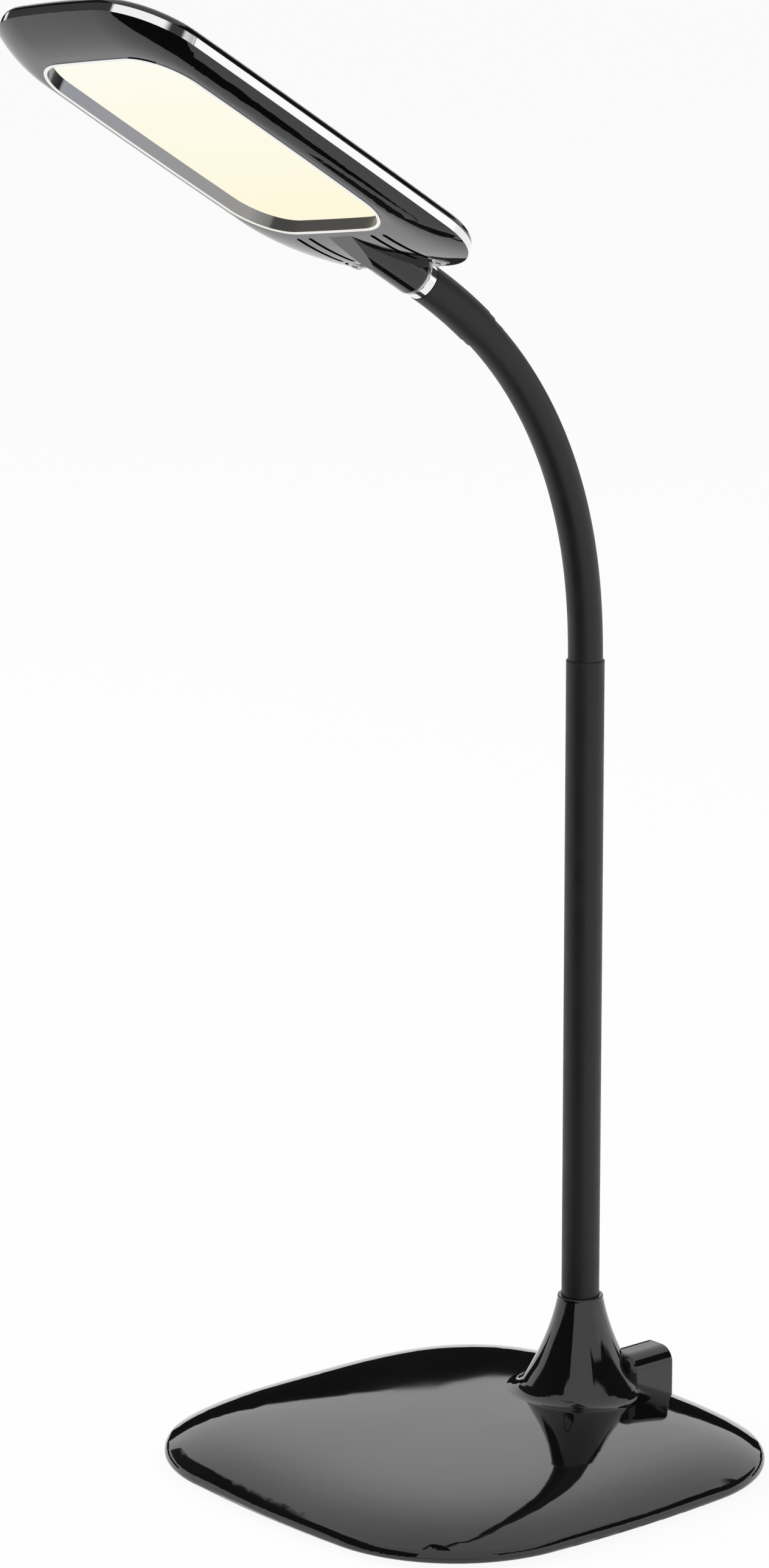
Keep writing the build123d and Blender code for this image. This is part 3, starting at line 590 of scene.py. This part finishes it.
# %% White floor with a shadow
FLOOR_SIZE, FLOOR_SEEN = 8.0, 0.93
FLOOR_DROP = 0.0003
floor_mesh = bpy.data.meshes.new("floor")
edge = FLOOR_SIZE / 2
floor_mesh.from_pydata([(-edge, -edge, 0), (edge, -edge, 0), (edge, edge, 0), (-edge, edge, 0)], [], [(0, 1, 2, 3)])
floor = bpy.data.objects.new("floor", floor_mesh)
floor.location.z = -FLOOR_DROP
bpy.context.scene.collection.objects.link(floor)
floor_white = bpy.data.materials.new("floor_white")
floor_white.use_nodes = True
paper = floor_white.node_tree
paper.nodes.clear()
matt = paper.nodes.new("ShaderNodeBsdfDiffuse")
matt.inputs["Color"].default_value = (0.95, 0.95, 0.95, 1.0)
plain = paper.nodes.new("ShaderNodeEmission")
plain.inputs["Color"].default_value = WHITE
floor_out = paper.nodes.new("ShaderNodeOutputMaterial")
mixed(paper, seen_share(paper, FLOOR_SEEN), matt.outputs[0], plain.outputs[0], floor_out.inputs["Surface"])
floor_mesh.materials.append(floor_white)
print("floor:", FLOOR_SIZE, "m wide, seen as", FLOOR_SEEN, "white")

# %% [markdown]
# ## Cards for the reflections
#
# A studio stands black cards round a glossy black product. The white room then shows as clean shapes with dark
# bands between them. The cards here are bands of a wide drum round the lamp, given by angle and elevation, and
# one sheet on the floor. One card on the right is pale, and takes the glare off the bright side band. Only
# reflections see the cards, so they cast no shadow and take no light away. A card that ended sharply would draw
# a hard line in every gloss surface, so its upper and lower edges fade to white.

# %% Card material and card
def card_material(name, grey):
    """Matt card of one grey, with a fine paper tooth, that fades to white along its soft edges."""
    material = finish(name, (grey, grey, grey), spread=0.1, roughness=(0.9, 1.0), patch=3.0, grain=200.0,
                      bump=0.05, specular=0.0)
    tree = material.node_tree
    shader = tree.nodes["Principled BSDF"]
    fade = tree.nodes.new("ShaderNodeAttribute")
    fade.attribute_name = "fade"
    ramp = tree.nodes.new("ShaderNodeValToRGB")
    inner, outer = ramp.color_ramp.elements
    inner.color, outer.color = (grey, grey, grey, 1.0), WHITE
    tree.links.new(fade.outputs["Fac"], ramp.inputs["Fac"])
    tree.links.new(ramp.outputs["Color"], shader.inputs["Emission Color"])
    shader.inputs["Emission Strength"].default_value = 1.0
    return material


def stand_card(name, points, faces, material, fade):
    """Card that only reflections see; fade holds a number for each point, 0 on the card and 1 where it is white."""
    mesh = bpy.data.meshes.new(name)
    mesh.from_pydata(points, [], faces)
    shade = mesh.attributes.new("fade", "FLOAT", "POINT")
    shade.data.foreach_set("value", fade)
    mesh.materials.append(material)
    card = bpy.data.objects.new(name, mesh)
    bpy.context.scene.collection.objects.link(card)
    card.visible_camera = False
    card.visible_diffuse = False
    card.visible_shadow = False
    card.visible_transmission = False
    print(f"{name}: {len(faces)} faces")

# %% Bands of the drum
DRUM_R = 6.0
BAND_POINTS = 61


def drum_band(name, edges, material, soft=2.5):
    """Part of the drum between two contours; each row gives an angle round the lamp, a low and a high elevation.

    Point = (R * cos(a) towards the camera, R * sin(a) to the right, R * tan(e) up), for angle a and elevation e.
    The four rows of points lie at e = low - soft, low, high and high + soft degrees, and the outer two are white.
    A band that stands on the floor has no white row there.
    """
    turn, low, high = np.array(edges, dtype=float).T
    fine = np.linspace(turn[0], turn[-1], BAND_POINTS)
    angle = np.radians(fine)
    ring = DRUM_R * (np.cos(angle)[:, None] * TO_CAMERA + np.sin(angle)[:, None] * TO_RIGHT)
    low, high = np.interp(fine, turn, low), np.interp(fine, turn, high)
    contours = [np.maximum(low - soft, 0.0), low, high, high + soft]
    rows = [np.column_stack([ring, DRUM_R * np.tan(np.radians(contour))]) for contour in contours]
    faces = grid_faces(len(rows), len(fine), False, False)
    fade = np.repeat([1.0, 0.0, 0.0, 1.0], len(fine))
    fade[: len(fine)][low <= soft] = 0.0
    stand_card(name, np.vstack(rows).tolist(), faces.tolist(), material, fade)


black_card = card_material("black_card", 0.03)
velvet_card = card_material("velvet_card", 0.008)
pale_card = card_material("pale_card", 0.78)
drum_band("card_behind", [(125, 0, 9), (145, 0, 9), (163, 0, 10.5), (173, 0, 13.5), (180, 0, 17.3), (187, 0, 14),
                          (197, 0, 11.3), (205, 0, 9.5), (235, 0, 9)], velvet_card, soft=0.3)
drum_band("card_side", [(60, 0, 13), (118, 0, 13)], pale_card)
drum_band("card_left", [(-154, 14, 21), (-150, 15, 27), (-144, 16, 37), (-138, 18, 43), (-133, 18, 46),
                        (-120, 20, 50), (-105, 18, 52), (-97, 11, 52), (-79, 4, 50), (-49, 1, 46), (-34, 1, 38),
                        (-27, 1, 36)], black_card)
drum_band("card_camera", [(32, 23, 38), (43, 28, 35)], black_card)
drum_band("card_right", [(43, 28, 35), (62, 24, 36), (74, 15, 40), (90, 14, 42), (110, 16, 42), (140, 20, 38)],
          black_card)

# %% Sheet on the floor
FLOOR_CARD = [(0.16, -1.3), (1.7, -1.3), (1.7, 0.1), (0.16, 0.1)]
SHEET_LIFT = 0.0004
sheet_corners = [(*(a * TO_CAMERA + b * TO_RIGHT), SHEET_LIFT) for a, b in FLOOR_CARD]
stand_card("card_floor", sheet_corners, [(0, 1, 2, 3)], velvet_card, np.zeros(len(sheet_corners)))

# %% [markdown]
# ## Lamps
#
# Two large square lamps light the object from the left and from above behind it, softly, so that the rubber
# parts have a rim of light and a dark middle. A lamp this close would show as a white square in the gloss, so
# the gloss does not see it: the white room does that work.

# %% Softboxes
def softbox(name, place, aim, size, power):
    """Square area lamp that looks at a point; it lights the lamp but does not show in the gloss."""
    data = bpy.data.lights.new(name, "AREA")
    data.size = size
    data.energy = power
    lamp = bpy.data.objects.new(name, data)
    lamp.location = place
    lamp.rotation_euler = (Vector(aim) - Vector(place)).to_track_quat("-Z", "Y").to_euler()
    lamp.visible_glossy = False
    bpy.context.scene.collection.objects.link(lamp)
    print(f"{name}: {size} m wide, {power} W")


softbox("softbox_left", (-1.3, -0.6, 1.0), (0, 0, 0.25), 0.8, 16.0)
softbox("softbox_top", (0.3, 0.9, 1.6), (0, 0, 0.1), 0.9, 8.0)
bpy.context.scene.view_settings.view_transform = "Standard"
